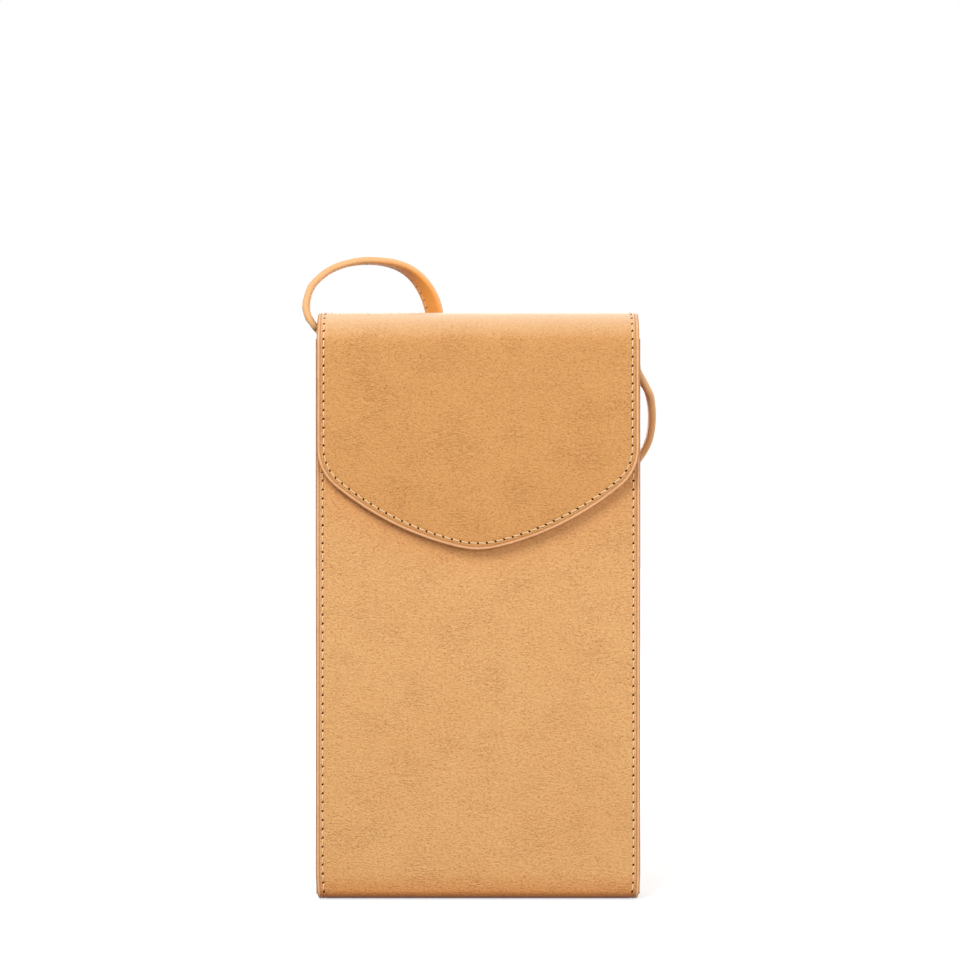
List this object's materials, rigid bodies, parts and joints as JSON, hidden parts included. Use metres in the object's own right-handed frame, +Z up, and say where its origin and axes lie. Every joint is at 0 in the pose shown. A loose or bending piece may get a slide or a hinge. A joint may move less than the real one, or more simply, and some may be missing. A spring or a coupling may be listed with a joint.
{
  "type": "phone pouch",
  "caption": "Upright leather phone pouch with gusseted sides, a pointed magnetic flap on a soft round fold and a narrow shoulder strap coiled behind it.",
  "frame": {"origin": "middle of the flat base, on the surface that the pouch stands on", "axes": "+Z up, +X to the right seen from the front, the front panel and flap face -Y"},
  "size_m": [0.1174, 0.0945, 0.2122],
  "materials": {
    "tan_leather": "natural grain, soft sheen",
    "lining_leather": "smooth, matte",
    "waxed_thread": "waxed, twisted",
    "magnet": "plated"
  },
  "bodies": {
    "pouch": {"body_wrap": "tan_leather", "left_gusset": "tan_leather", "right_gusset": "tan_leather", "left_strap_end": "tan_leather", "right_strap_end": "tan_leather", "strap_left_stretch": "tan_leather", "strap_right_stretch": "tan_leather", "strap_coil": "tan_leather", "strap_tie": "tan_leather", "front_facing": "lining_leather", "back_facing": "lining_leather", "front_left_stitches": "waxed_thread", "front_right_stitches": "waxed_thread", "back_left_stitches": "waxed_thread", "back_right_stitches": "waxed_thread", "mouth_stitches": "waxed_thread", "back_facing_stitches": "waxed_thread", "left_strap_end_stitches": "waxed_thread", "right_strap_end_stitches": "waxed_thread", "front_magnet": "magnet"},
    "fold_1": {"fold_1_outer": "tan_leather", "fold_1_lining": "lining_leather", "fold_1_stitches": "waxed_thread"},
    "fold_2": {"fold_2_outer": "tan_leather", "fold_2_lining": "lining_leather", "fold_2_stitches": "waxed_thread"},
    "fold_3": {"fold_3_outer": "tan_leather", "fold_3_lining": "lining_leather", "fold_3_stitches": "waxed_thread"},
    "flap": {"flap_outer": "tan_leather", "flap_lining": "lining_leather", "flap_stitches": "waxed_thread", "flap_magnet": "magnet"}
  },
  "joints": [
    {"name": "fold_hinge_1", "type": "hinge", "parent": "pouch", "child": "fold_1", "pos_m": [0, 0.01, 0.1802], "axis": [-1, 0, 0], "range_deg": [0, 30]},
    {"name": "fold_hinge_2", "type": "hinge", "parent": "fold_1", "child": "fold_2", "pos_m": [0, 0.0041, 0.19042], "axis": [-1, 0, 0], "range_deg": [0, 60]},
    {"name": "fold_hinge_3", "type": "hinge", "parent": "fold_2", "child": "fold_3", "pos_m": [0, -0.0077, 0.19042], "axis": [-1, 0, 0], "range_deg": [0, 60]},
    {"name": "fold_hinge_4", "type": "hinge", "parent": "fold_3", "child": "flap", "pos_m": [0, -0.0136, 0.1802], "axis": [-1, 0, 0], "range_deg": [0, 30]}
  ],
  "couplings": [
    {"joint": "fold_hinge_2", "follows": "fold_hinge_1", "ratio": 2},
    {"joint": "fold_hinge_3", "follows": "fold_hinge_1", "ratio": 2},
    {"joint": "fold_hinge_4", "follows": "fold_hinge_1", "ratio": 1}
  ]
}
